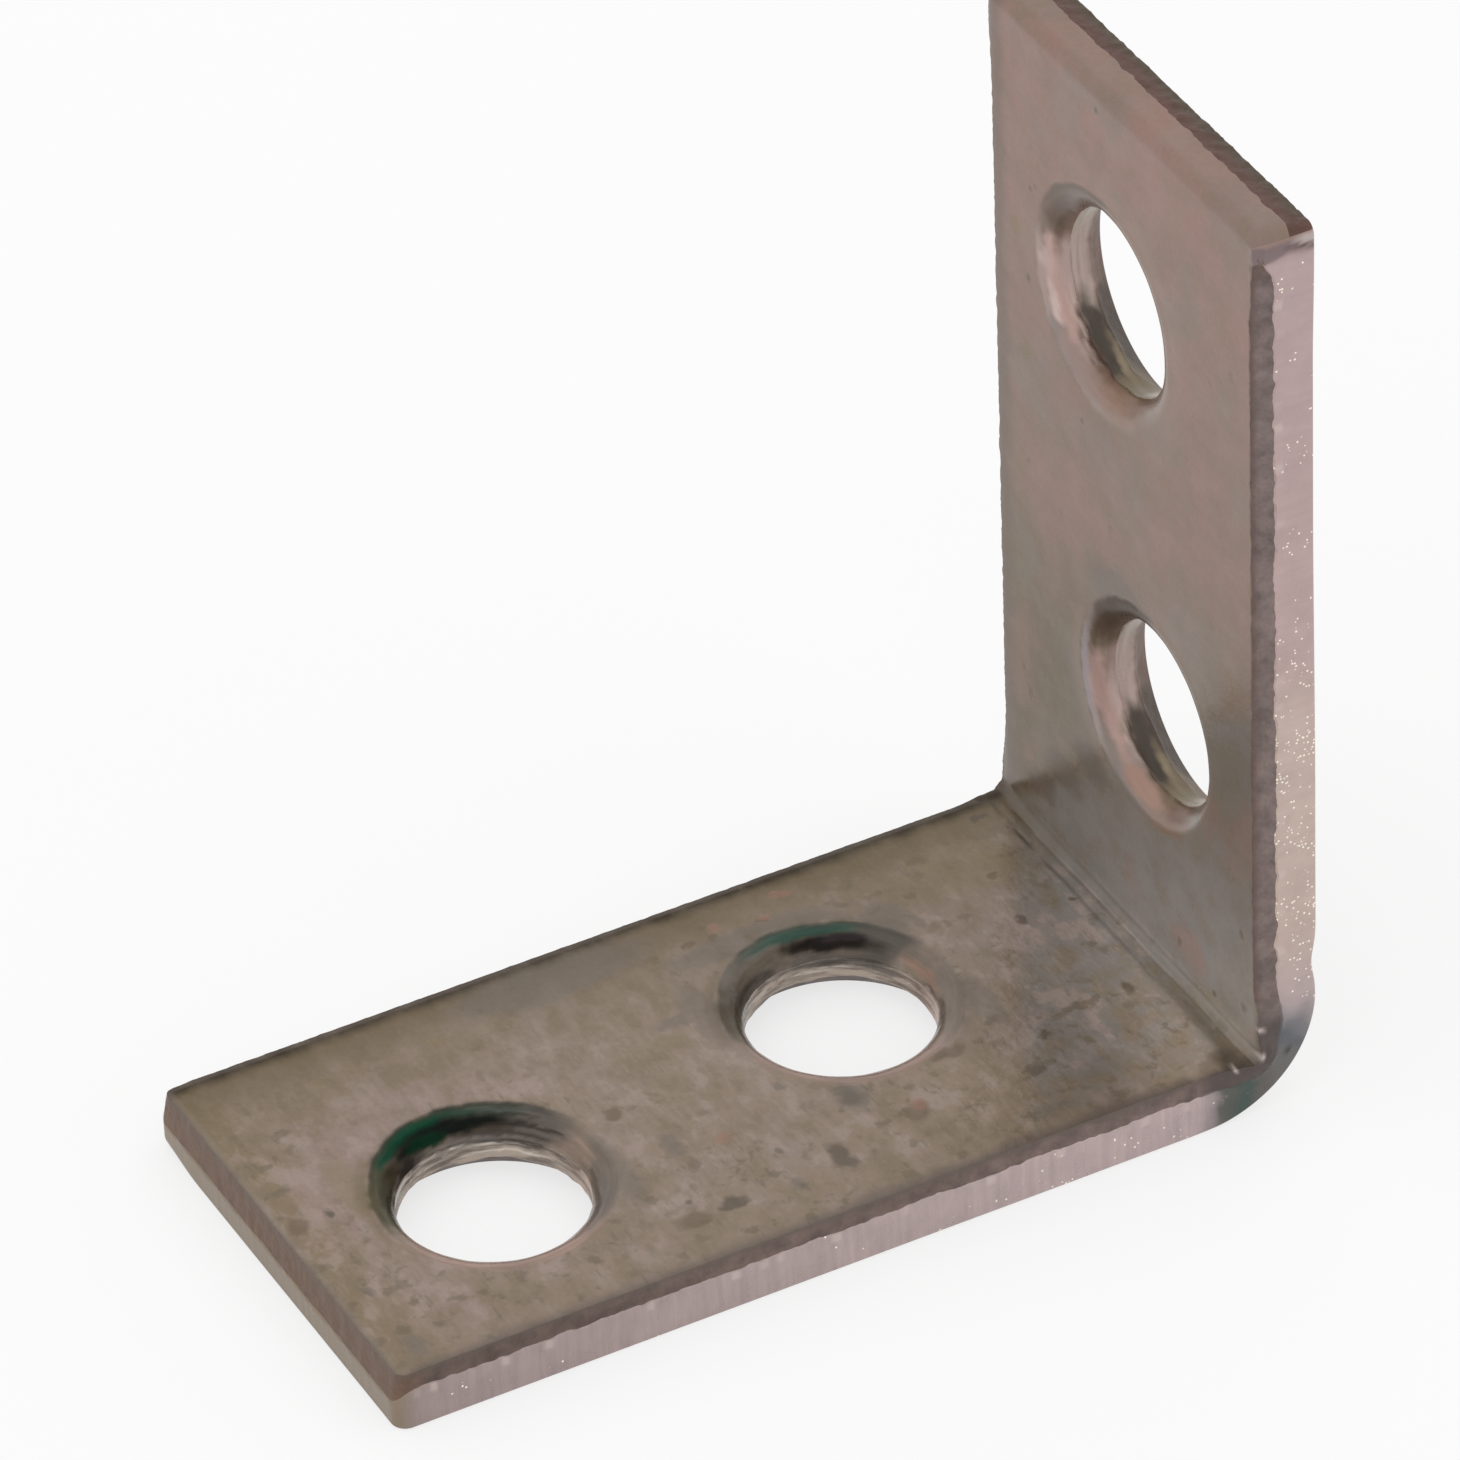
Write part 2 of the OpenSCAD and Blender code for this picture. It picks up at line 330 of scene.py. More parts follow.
def long_edge(row, s, v):
    """Height and inset of one row on a long side."""
    side = math.copysign(7, v)
    on_wall = ease(CREASE - 0.6, CREASE + 0.8, s)
    # The burnished band is ragged, low at the heel, and runs up to the near top corner
    ragged = 1.2 + 0.5 * on_wall
    burnish = SIDE_SMOOTH - 0.04 * on_wall
    burnish = burnish - 0.3 * hump(CREASE - 0.15, 0.7, s) - 0.16 * hump(CREASE + 1, 0.7, s)
    burnish += (0.04 * wave(s * 0.6, side, 3) + 0.045 * wave(s * 1.9, side, 7)) * ragged
    burnish += 0.045 * wave(s * 4.5, side, 9)
    if v < 0:
        burnish += 0.24 * ease(LENGTH - 1.5, LENGTH - 0.75, s)
    far = 0.02 + 0.07 * on_wall if v > 0 else 0
    squeeze = 0.05 * ease(21.4, 23, s) * (1 - ease(23.7, 25.6, s))
    roll = ROLL_R + (0.12 if v > 0 else 0)
    if row <= TEAR_END:
        f = row / TEAR_END
        n = THICK + (burnish - THICK) * f
        fold_zone = ease(21.9, 23.1, s) * (1 - ease(23.9, 25.6, s))
        upright = on_wall * (1 - 0.8 * ease(LENGTH - 2.6, LENGTH - 0.8, s))
        lean = FOOT_LEAN + (WALL_LEAN - FOOT_LEAN) * upright - LEDGE
        inset = (LEDGE + lean * (1 - f) ** 0.8) * (1 - 0.95 * fold_zone)
        inset += torn_slope(s, f, side) * (0.5 + 0.7 * on_wall + 0.45 * math.sin(math.pi * f))
        inset += 0.03 * (0.4 + on_wall) * wave(s * 1.6, side, 2) * (1 - f)
    elif row <= BAND_END:
        f = (row - TEAR_END - 1) / (BAND_END - TEAR_END - 1)
        n = (burnish - 0.03) * (1 - f) + roll * f
        inset = 0.006 + 0.006 * wave(s * 7, n, side) + 0.004 * wave(s * 17, n * 2, side)
    else:
        sweep = (row - BAND_END) / (EDGE_ROWS - BAND_END) * math.pi / 2
        n = roll * (1 - math.sin(sweep))
        inset = roll * (1 - math.cos(sweep)) + 0.004
    return n, inset + far + squeeze * (1 - n / THICK) ** 1.3


def foot_edge(row, s, v):
    """Height and inset of one row on the foot leg's free end, which is rolled over at its far corner."""
    burnish = FOOT_END_SMOOTH + 0.03 * wave(v * 0.8, 2, 3) + 0.02 * wave(v * 3, 2, 7)
    roll = ROLL_R + 0.28 * ease(4.2, 6.3, v)
    if row <= TEAR_END:
        f = row / TEAR_END
        inset = 0.02 + END_LEAN * (1 - f) + 0.6 * torn_slope(v, f, 21)
        return THICK + (burnish - THICK) * f, inset
    if row <= BAND_END:
        f = (row - TEAR_END - 1) / (BAND_END - TEAR_END - 1)
        n = (burnish - 0.03) * (1 - f) + roll * f
        return n, 0.006 + 0.006 * wave(v * 7, n, 5)
    sweep = (row - BAND_END) / (EDGE_ROWS - BAND_END) * math.pi / 2
    return roll * (1 - math.sin(sweep)), roll * (1 - math.cos(sweep))


def wall_edge(row, s, v):
    """Height and inset of one row on the wall leg's free end."""
    broken = THICK - WALL_END_SMOOTH + 0.07 * wave(v * 0.9, 4, 3) + 0.06 * wave(v * 2.6, 4, 7)
    broken += 0.03 * wave(v * 8, 4, 1)
    if row <= ROLL_END:
        sweep = (1 - row / ROLL_END) * math.pi / 2
        return THICK - END_ROLL_R * (1 - math.sin(sweep)), END_ROLL_R * (1 - math.cos(sweep))
    if row <= SMOOTH_END:
        f = (row - ROLL_END) / (SMOOTH_END - ROLL_END)
        n = (THICK - END_ROLL_R) * (1 - f) + broken * f
        return n, 0.005 + 0.005 * wave(v * 7, n, 5)
    f = (row - SMOOTH_END - 1) / (EDGE_ROWS - SMOOTH_END - 1)
    inset = LEDGE + END_LEAN * f + torn_slope(v, f, 33)
    return (broken - 0.02) * (1 - f), inset


# An edge's columns stand this far apart, closer round the fold, with this many round a corner
SPACING, FOLD_SPACING, CORNER_COLUMNS = 0.09, 0.045, 12


def places(start, end):
    """Places from start up to end along a long side."""
    found = []
    s = start
    while s < end - 0.02:
        found.append(s)
        s += FOLD_SPACING if FOOT_FLAT + 0.5 < s < WALL_FLAT - 0.5 else SPACING
    return found


def corner(middle_s, middle_v, start, before, after):
    """The columns round one corner, which turn from one kind of cut edge into the next."""
    found = []
    for i in range(CORNER_COLUMNS):
        angle = math.radians(start + 90 * i / CORNER_COLUMNS)
        out = (math.cos(angle), math.sin(angle))
        place = (middle_s + CORNER_R * out[0], middle_v + CORNER_R * out[1])
        found.append((*place, *out, before, after, ease(0, 1, i / CORNER_COLUMNS)))
    return found


# The columns all round the strip: place, way out, the kinds of edge on either side and their share
half = WIDTH / 2
top_v, end_s = half - CORNER_R, LENGTH - CORNER_R
along_strip = places(CORNER_R, end_s)
across_strip = [-top_v + SPACING * i for i in range(int(2 * top_v / SPACING))]
columns = [(s, -half, 0, -1, long_edge, long_edge, 0) for s in along_strip]
columns += corner(end_s, -top_v, -90, long_edge, wall_edge)
columns += [(LENGTH, v, 1, 0, wall_edge, wall_edge, 0) for v in across_strip]
columns += corner(end_s, top_v, 0, wall_edge, long_edge)
columns += [(s, half, 0, 1, long_edge, long_edge, 0) for s in reversed(along_strip[1:])]
columns += corner(CORNER_R, top_v, 90, long_edge, foot_edge)
columns += [(0, -v, -1, 0, foot_edge, foot_edge, 0) for v in across_strip]
columns += corner(CORNER_R, -top_v, 180, foot_edge, long_edge)


# The two faces. The press tool's nose scored the inner one along the fold and squeezed it out at the near
# end, and the die left a dent across the outer one, above the heel.
def crease_line(v):
    """Where the press tool's nose scored the fold, along the strip."""
    return CREASE - 0.14 + 0.04 * wave(v * 0.45, 3, 1)


def broken_line(v):
    """Where a second, broken line runs beside the crease on the foot leg."""
    return crease_line(v) - 0.33 + 0.03 * wave(v * 0.7, 5, 1)


def inner_lift(s, v):
    """How far the inner face stands off flat: slack plate, scored creases and drawn hole mouths."""
    lift = 0.007 * wave(s * 0.35, v * 0.35, 1)
    line = crease_line(v)
    lift -= 0.035 * hump(line, 0.05, s)
    lift += 0.012 * hump(line - 0.15, 0.06, s)
    lift -= 0.018 * hump(broken_line(v), 0.05, s) * (0.5 + wave(v * 1.3, 8, 1))
    lift -= 0.03 * (1 - ease(0.3, 0.95, s))
    lift -= 0.24 * hump(CREASE, 0.3, s) * ease(-5.5, -6.3, v)
    for hole_s, hole_v, on_foot in holes:
        out = math.hypot(s - hole_s, v - hole_v) - FOOT_MOUTH_R
        lift -= 0.03 * hump(0, 0.4, max(out, 0))
    return lift - 0.04 * ease(half - 0.42, half - 0.05, v)


def outer_lift(s, v):
    """How far the outer face lies inside flat: the die's mark across the wall leg above the fold."""
    mark = 0.12 * hump(WALL_FLAT + 1.05, 0.55, s) * (0.35 + 0.65 * ease(-4.5, -6.3, v))
    waist = 0.04 * ease(WALL_FLAT + 6, WALL_FLAT + 14, s) * (1 - ease(LENGTH - 4, LENGTH - 0.8, s))
    return mark + waist + 0.004 * (1 + wave(s * 0.4, v * 0.4, 6))


# A point this high counts as on the inner face, and one of the crease may lie lower
ON_FACE, IN_CREASE = 1.5, 1.3


def strip_film(s, v, n):
    """The film at one point of the inner face or a cut edge: round the holes, by the margin and the fold."""
    film = CLEAR
    for number, (hole_s, hole_v, on_foot) in enumerate(holes):
        angle = math.atan2(v - hole_v, s - hole_s)
        out = math.hypot(s - hole_s, v - hole_v) - mouth_radius(angle, on_foot)
        if n > ON_FACE and -0.02 < out < 0.9:
            for at, wide, reach, tone, most in RIMS[number]:
                off = (math.degrees(angle) - at + 180) % 360 - 180
                film = laid(film, tone, most * ease(wide, 0.3 * wide, abs(off)) * ease(reach, 0.04, out))
    # Dirt along the near margin, where the torn band begins
    margin = half + v - 0.26 - 0.22 * wave(s * 0.8, 3, 5) - 0.1 * wave(s * 3.1, v * 3, 5)
    if n > ON_FACE and s < CREASE:
        strength = (0.3 + 0.35 * ease(8, 16, s)) * (1 - ease(21.6, 22.6, s)) * ease(0.4, 1.2, s)
        film = laid(film, "#5f524e", strength * (1 - ease(-0.05, 0.3, margin)))
    elif n > ON_FACE:
        strength = 0.35 * (1 - ease(45.6, 46.4, s))
        film = laid(film, "#6d5850", strength * (1 - ease(-0.1, 0.12, margin)))
    # The crease: a soft painted shadow on the foot side and painted shade on the inside of the bend, with a
    # dark line in the score and a broken one beside it, a pale line on the ridge behind it and a dark pit at
    # its near end
    line = crease_line(v)
    if n > IN_CREASE and abs(s - line) < 1:
        near_end = ease(1, -4.5, v)
        # A soft painted shadow on the foot side of the crease
        before = hump(line - 0.16 - 0.05 * near_end, 0.16 + 0.1 * near_end, s)
        film = laid(film, "#554b3d", 0.72 * before * (0.25 + 0.75 * near_end))
        # Painted shade on the inside of the bend
        bend_shade = ease(line + 0.02, line + 0.09, s) * (1 - ease(line + 0.26, line + 0.42, s))
        film = laid(film, "#5f574e", (0.7 - 0.1 * near_end) * bend_shade)
        ridge = hump(line + 0.24 + 0.02 * wave(v * 0.9, 2, 4), 0.045, s) * near_end
        film = laid(film, "#93877d", 0.5 * ridge)
        broken = hump(broken_line(v), 0.06, s) * (0.6 + wave(v * 1.3, 8, 1))
        broken = min(max(broken, 0), 1) * (1 - near_end)
        dark = max(hump(line, 0.06, s) * (0.75 + 0.5 * wave(v * 0.8, 4, 4)), broken)
        film = laid(film, "#3d342b", 0.66 * min(dark, 1))
        pit = hump(22.7, 0.3, s) * ease(-5.2, -5.8, v) * (1 + 0.5 * wave(s * 4, v * 4, 3))
        film = laid(film, "#50473b", 0.85 * min(pit, 1))
    return film


# Painted dark reflections in teal and grey on the near side of the heel, by place along the strip
HEEL_SIDE_REFLECTIONS = [
    (21.5, "#91898a", 0.0), (22.0, "#726c6e", 0.5), (22.25, "#444a43", 0.9), (22.65, "#304841", 0.95),
    (22.95, "#4e4d48", 0.9), (23.3, "#595a56", 0.9), (23.55, "#5c5d5c", 0.9), (23.88, "#4e565c", 0.9),
    (24.1, "#62656a", 0.8), (24.35, "#7d7a7d", 0.6), (24.6, "#999192", 0.3), (24.9, "#a99f9f", 0.0),
]
# Painted highlights on pale burrs at the near side of the fold: place along the strip and half width
BURR_HIGHLIGHTS = ((24.12, 0.07), (23.42, 0.08), (22.72, 0.045))
# The first rows below the inner face are darkened less and less
MARGIN = (0.75, 0.5, 0.25, 0.1)
CORNER_REACH = 0.45


def near_corner_film(s, n):
    """The shear's mark at the near top corner: a mauve wedge, a dark line under it with a soft painted
    shadow below that, and a pale chip.
    """
    jog = 0.04 * wave(n * 4, 2, 2)
    low, line = LENGTH - 0.9 + 0.34 * (1.3 - n) + jog, LENGTH - 0.65 + 0.23 * n + jog
    wedge = ease(low, low + 0.14, s) * (1 - ease(LENGTH - 0.4, LENGTH - 0.28, s)) * ease(0.25, 0.6, n)
    film = linear("#7a6869")[:3] + [0.9 * wedge]
    # The dark line, and the wider, softer hump below it is a painted shadow
    shade = max(hump(line, 0.055, s), 0.4 * hump(line - 0.1, 0.1, s)) * (1 - ease(0.6, 0.8, n))
    film = laid(film, "#463634", 0.9 * shade)
    pale = ease(line + 0.05, line + 0.12, s) * (1 - ease(LENGTH - 0.34, LENGTH - 0.24, s))
    return laid(film, "#b9aba8", 0.9 * (pale * (1 - ease(0.4, 0.6, n))))


def edge_film(kind, row, s, v, n):
    """The film at one point of a cut edge."""
    near_side = kind is long_edge and v < 0
    on_end = kind is wall_edge
    if near_side and 21.5 < s < 26 and row >= TEAR_END:
        # The near side of the heel takes its painted dark reflections
        film = between(HEEL_SIDE_REFLECTIONS, s + 0.2 * wave(s * 2, n * 2, 4) - 0.2 * (n - 0.3))
        return laid(film, "#1c1917", hump(23.68, 0.08, s) * hump(0.5, 0.08, n))
    if near_side and row <= TEAR_END and abs(s - 23.2) < 1.6:
        dark = ease(21.5, 22.3, s) * (1 - ease(24.1, 24.7, s)) * (1 + 0.25 * wave(s * 3, n * 3, 4))
        film = laid(strip_film(s, v, n), "#4c423f", 0.85 * min(dark, 1))
        # Painted highlights on the burrs
        burr_highlight = max(hump(at, wide, s) for at, wide in BURR_HIGHLIGHTS)
        return laid(film, "#c6b7b1", 0.9 * burr_highlight * ease(2.6, 1.2, row))
    if on_end and row > SMOOTH_END and v > -half + CORNER_REACH:
        film = linear("#5f382f")[:3] + [0.5 * (1 - ease(13, 15.5, row))]
        return laid(film, "#443c2a", 0.75 * ease(15.5, 19, row + 1.2 * wave(v * 1.5, 3, 2)))
    if v < -half + CORNER_REACH if on_end else v < 0 and s > LENGTH - END_ZONE:
        return near_corner_film(s, n)
    if not on_end and row < len(MARGIN):
        tone = "#5c463f" if s > CREASE else "#63574e"
        return laid(strip_film(s, v, n), tone, MARGIN[row] * (1 + 0.4 * wave(s * 2, 3, 3)))
    # A painted highlight along the ledge at the top of the near side's burnished band
    if near_side and row in (TEAR_END + 1, TEAR_END + 2) and s < LENGTH - 1:
        return linear("#cdbab5")[:3] + [0.55 * ease(0.05, 0.45, wave(s * 2.6, 6, 4))]
    return CLEAR


# The flat strip's points, with each one's film, and for the holes the turn and the way down the wall
flat, films, turned = [], [], []


def point(place, film=CLEAR, turn=(0, 0, 0)):
    """Adds a point of the flat strip and gives its number."""
    flat.append(place)
    films.append([min(max(value, 0), 1) for value in film])
    turned.append(turn)
    return len(flat) - 1


edge_ids = []
for s, v, out_s, out_v, before, after, share in columns:
    ids = []
    for row in range(EDGE_ROWS + 1):
        n, inset = before(row, s, v)
        if share > 0:
            other_n, other_inset = after(row, s, v)
            n += (other_n - n) * share
            inset += (other_inset - inset) * share
        inset = max(inset, 0.001)
        place_s, place_v = s - out_s * inset, v - out_v * inset
        n += inner_lift(place_s, place_v) * ease(0.5, 1, n / THICK)
        n += outer_lift(place_s, place_v) * ease(0.6, 0, n / THICK)
        kind = after if share > 0.5 else before
        ids.append(point((place_s, place_v, max(n, 0)), edge_film(kind, row, place_s, place_v, n)))
    edge_ids.append(ids)

hole_ids = []
for number, (hole_s, hole_v, on_foot) in enumerate(holes):
    ring = []
    for i in range(HOLE_COLUMNS):
        angle = 2 * math.pi * i / HOLE_COLUMNS
        x, y = math.cos(angle), math.sin(angle)
        ids = []
        for row in range(HOLE_ROWS + 1):
            radius, depth = hole_point(row, angle, on_foot, number * 3.7)
            place_s, place_v = hole_s + radius * x, hole_v + radius * y
            n = THICK - depth + inner_lift(place_s, place_v) * (1 - ease(0, 1, depth / THICK))
            way = 0.85 * row / MOUTH_ROWS if row <= MOUTH_ROWS else 0.85 + depth - MOUTH_DEPTH
            film = hole_film(number, angle, row)
            ids.append(point((place_s, place_v, max(n, 0)), film, (x, y + 9 * number, way)))
        ring.append(ids)
    hole_ids.append(ring)


# A face's own points keep this far from the strip's near and far edges and from the holes' middles, and
# stand this far apart across the strip and along the fold
NEAR_GAP, FAR_GAP, HOLE_GAP = 0.58, 0.62, 4.1
ACROSS_STEP, FOLD_STEP = 0.28, 0.12


def inside_points(step, closer):
    """Points to mesh the middle of a face with, in rows across the strip and rings round the holes."""
    found = []
    s = 0.5
    while s < LENGTH - 0.4:
        v = -half + NEAR_GAP
        while v < half - FAR_GAP:
            if all(math.hypot(s - h[0], v - h[1]) > HOLE_GAP for h in holes):
                found.append((s, v))
            v += ACROSS_STEP
        in_crease = abs(s - CREASE) < 1.1
        s += closer if in_crease else (FOLD_STEP if FOOT_FLAT < s < WALL_FLAT else step)
    for hole_s, hole_v, on_foot in holes:
        for out, count in ((0.12, 84), (0.28, 84), (0.5, 56), (0.8, 56)):
            for i in range(count):
                angle = 2 * math.pi * (i + 0.5) / count
                reach = mouth_radius(angle, on_foot) + out
                place = (hole_s + reach * math.cos(angle), hole_v + reach * math.sin(angle))
                if abs(place[1]) < half - 0.5:
                    found.append(place)
    for s, v, out_s, out_v, *rest in columns[::2]:
        for inset in (0.36, 0.46, 0.57) if out_v > 0.5 else (0.36, 0.46):
            found.append((s - out_s * inset, v - out_v * inset))
    return found


def face_between(edge_row, hole_row, extra, height):
    """Meshes a face of the strip between its outline and its four holes, and leaves the holes open."""
    loops = [[ids[edge_row] for ids in edge_ids]] + [[ids[hole_row] for ids in ring] for ring in hole_ids]
    ring_sets = [set(loop) for loop in loops[1:]]
    known = [i for loop in loops for i in loop]
    for s, v in extra:
        n = height(s, v)
        known.append(point((s, v, n), strip_film(s, v, n)))
    edges, start = [], 0
    for loop in loops:
        edges += [(start + i, start + (i + 1) % len(loop)) for i in range(len(loop))]
        start += len(loop)
    spots = [Vector(flat[i][:2]) for i in known]
    found = delaunay_2d_cdt(spots, edges, [], 1, 0.0001)
    sources = [known[source[0]] if source else None for source in found[3]]
    reach = [max(math.hypot(flat[i][0] - h[0], flat[i][1] - h[1]) for i in loop)
             for h, loop in zip(holes, loops[1:])]
    triangles = []
    for triangle in found[2]:
        middle = sum((found[0][i] for i in triangle), Vector((0, 0))) / 3
        names = [sources[i] for i in triangle]
        same_ring = any(all(name in ring for name in names) for ring in ring_sets)
        near = any(math.hypot(middle.x - h[0], middle.y - h[1]) < r for h, r in zip(holes, reach))
        if None not in names and not (near and same_ring):
            triangles.append(names)
    return triangles


inner_face = face_between(0, 0, inside_points(0.3, 0.04), lambda s, v: THICK + inner_lift(s, v))
outer_face = face_between(EDGE_ROWS, HOLE_ROWS, inside_points(0.45, 0.1), outer_lift)

PLATE, BURNISHED, TORN = 0, 1, 2
faces = [(names, PLATE) for names in inner_face + outer_face]
for i, ids in enumerate(edge_ids):
    following = edge_ids[(i + 1) % len(edge_ids)]
    s, v, out_s, out_v, before, after, share = columns[i]
    kind = after if share > (0.1 if after is wall_edge else 0.5) else before
    smooth = PLATE if kind is wall_edge else BURNISHED
    for row in range(EDGE_ROWS):
        torn = row >= SMOOTH_END if kind is wall_edge else row < TEAR_END and s < LENGTH - END_ZONE
        names = (ids[row], following[row], following[row + 1], ids[row + 1])
        faces.append((names, TORN if torn else smooth))
for ring in hole_ids:
    for i, ids in enumerate(ring):
        following = ring[(i + 1) % HOLE_COLUMNS]
        for row in range(HOLE_ROWS):
            finish = PLATE if row < MOUTH_ROWS else BURNISHED if row < MOUTH_ROWS + BORE_ROWS else TORN
            faces.append(((ids[row], following[row], following[row + 1], ids[row + 1]), finish))


# The bracket is one piece, folded here from the flat strip. Its mesh carries each point's place on the
# strip, the film of dirt, painted shade, painted reflections and painted highlights there, and in the
# holes the turn and the way down, for the three finishes below.
SHARP_ANGLE = math.radians(38)
shape = bpy.data.meshes.new("pressed_strip")
shape.from_pydata([fold(*place) for place in flat], [], [names for names, finish in faces])
shape.polygons.foreach_set("material_index", [finish for names, finish in faces])
strip_place = shape.attributes.new("strip", "FLOAT_VECTOR", "POINT")
strip_place.data.foreach_set("vector", [value for place in flat for value in place])
film_colour = shape.attributes.new("film", "FLOAT_COLOR", "POINT")
film_colour.data.foreach_set("color", [value for film in films for value in film])
turn_place = shape.attributes.new("turned", "FLOAT_VECTOR", "POINT")
turn_place.data.foreach_set("vector", [value for turn in turned for value in turn])
tidy = bmesh.new()
tidy.from_mesh(shape)
bmesh.ops.delete(tidy, geom=[v for v in tidy.verts if not v.link_faces], context="VERTS")
bmesh.ops.recalc_face_normals(tidy, faces=tidy.faces)
tidy.to_mesh(shape)
tidy.free()
shape.shade_smooth()
shape.set_sharp_from_angle(angle=SHARP_ANGLE)
pressed_strip = bpy.data.objects.new("pressed_strip", shape)
bpy.context.scene.collection.objects.link(pressed_strip)
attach(pressed_strip, "root")
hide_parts("angle_iron")


def add(tree, kind, inputs=None, **settings):
    """Adds one node with its settings, and sets or links its inputs, by name or by place."""
    made = tree.nodes.new("ShaderNode" + kind)
    for name, value in settings.items():
        setattr(made, name, value)
    for name, value in (inputs or {}).items():
        if isinstance(value, bpy.types.NodeSocket):
            tree.links.new(value, made.inputs[name])
        else:
            made.inputs[name].default_value = value
    return made


# The settings that make a range rise smoothly from one end to the other
SMOOTH = {"interpolation_type": "SMOOTHSTEP"}


def tone_along(tree, run, tones):
    """A finish's colour by place along the strip, in millimetres."""
    along = add(tree, "Math", {0: run, 1: LENGTH}, operation="DIVIDE").outputs[0]
    ramp = add(tree, "ValToRGB", {0: along})
    stops = ramp.color_ramp.elements
    for number, (at, colour) in enumerate(tones):
        stop = stops.new(at / LENGTH) if number > 1 else stops[number]
        stop.position = at / LENGTH
        stop.color = linear(colour)
    return ramp.outputs[0]


def overlaid(tree, colour, over, pattern, low, high, most, amount):
    """Lays one more colour over a finish where a pattern goes from low to high."""
    share = add(tree, "MapRange", {0: pattern, 1: low, 2: high, 4: most}, **SMOOTH).outputs[0]
    share = add(tree, "Math", {0: share, 1: amount}, operation="MULTIPLY").outputs[0]
    return add(tree, "Mix", {0: share, 6: colour, 7: linear(over)}, data_type="RGBA").outputs[2]


def shaded(tree, colour, pattern, low, high, darkest, palest, fades=()):
    """Makes a finish darker and paler with a pattern, and fades that out by each share given."""
    lift = add(tree, "MapRange", {0: pattern, 1: low, 2: high, 3: darkest, 4: palest}).outputs[0]
    for fade in fades:
        lift = add(tree, "Mix", {0: fade, 2: lift, 3: 1.0}, data_type="FLOAT").outputs[0]
    return add(tree, "VectorMath", {0: colour, 3: lift}, operation="SCALE").outputs[0]


# Zinc plate on cold rolled steel, dulled by handling: mostly matt with oxide and a little of a soft mirror,
# so the fold faintly reflects itself. It is clouded over millimetres, streaked and specked below one.
plate = bpy.data.materials.new("zinc_plate_dulled")
plate.use_nodes = True
tree = plate.node_tree
shader = tree.nodes["Principled BSDF"]
place = add(tree, "Attribute", attribute_name="strip").outputs["Vector"]
run, cross = add(tree, "SeparateXYZ", {0: place}).outputs[:2]
# The film: dirt with painted shade, painted reflections and painted highlights
dirt_and_painted_light = add(tree, "Attribute", attribute_name="film").outputs
film, covering = dirt_and_painted_light["Color"], dirt_and_painted_light["Alpha"]
turn = add(tree, "Attribute", attribute_name="turned").outputs["Vector"]
on_wall = add(tree, "MapRange", {0: run, 1: CREASE - 0.2, 2: CREASE + 0.6}).outputs[0]
on_foot = add(tree, "Math", {0: 1.0, 1: on_wall}, operation="SUBTRACT").outputs[0]
PLATE_TONES = [
    (0, "#806d59"), (0.85, "#7f6b52"), (1.15, "#917b6e"), (1.9, "#8f7a6f"), (9, "#8e7c6f"),
    (17, "#887663"), (21.5, "#837366"), (23.2, "#857a6f"), (25, "#857970"), (30, "#7a6550"),
    (36, "#816659"), (41, "#876b5e"), (45.6, "#8d6b5f"), (46.7, "#8d6b5f"), (47.1, "#8b6f63"),
]
colour = tone_along(tree, run, PLATE_TONES)

# Painted reflection either side of the fold: each leg is painted greyer where it mirrors the other leg
reflection_foot_edge = add(tree, "Math", {0: cross, 1: -0.512, 2: run}, operation="MULTIPLY_ADD").outputs[0]
reflection_foot_edge = add(tree, "MapRange", {0: reflection_foot_edge, 1: 20.0, 2: 20.75}, **SMOOTH).outputs[0]
reflection_wall_edge = add(tree, "Math", {0: cross, 1: 0.884, 2: run}, operation="MULTIPLY_ADD").outputs[0]
reflection_wall_edge = add(tree, "MapRange", {0: reflection_wall_edge, 1: 28.7, 2: 27.9}, **SMOOTH).outputs[0]
painted_reflection = add(tree, "Math", {0: reflection_foot_edge, 1: reflection_wall_edge}, operation="MULTIPLY").outputs[0]
share = add(tree, "Math", {0: painted_reflection, 1: 0.5}, operation="MULTIPLY").outputs[0]
foot_reflection_grey, wall_reflection_grey = linear("#6f7375"), linear("#7f8283")
reflection_grey = add(tree, "Mix", {0: on_wall, 6: foot_reflection_grey, 7: wall_reflection_grey}, data_type="RGBA").outputs[2]
colour = add(tree, "Mix", {0: share, 6: colour, 7: reflection_grey}, data_type="RGBA").outputs[2]

# An olive cast low on the wall's far side
far_wall = add(tree, "Math", {0: 1.0, 1: reflection_wall_edge}, operation="SUBTRACT").outputs[0]
far_wall = add(tree, "Math", {0: far_wall, 1: on_wall}, operation="MULTIPLY").outputs[0]
colour = overlaid(tree, colour, "#5f4c30", run, 35, 28, 0.9, far_wall)

# Clouds four and one millimetre across, and streaks 0.15 by 0.7 mm that the rolls left across the strip
clouds = add(tree, "TexNoise", {"Vector": place, "Scale": 0.3, "Detail": 4, "Roughness": 0.6})
hues = add(tree, "SeparateXYZ", {0: clouds.outputs[1]}).outputs[1]
clouds = clouds.outputs[0]
drawn = add(tree, "VectorMath", {0: place, 1: (1.3, 0.9, 1)}, operation="MULTIPLY").outputs[0]
mottle = add(tree, "TexNoise", {"Vector": drawn, "Scale": 1.05, "Detail": 4, "Roughness": 0.55}).outputs[0]
drawn = add(tree, "VectorMath", {0: place, 1: (6, 1.4, 1)}, operation="MULTIPLY").outputs[0]
streaks = add(tree, "TexNoise", {"Vector": drawn, "Scale": 1, "Detail": 3, "Roughness": 0.6}).outputs[0]
strength = add(tree, "MapRange", {0: on_foot, 3: 0.5}).outputs[0]
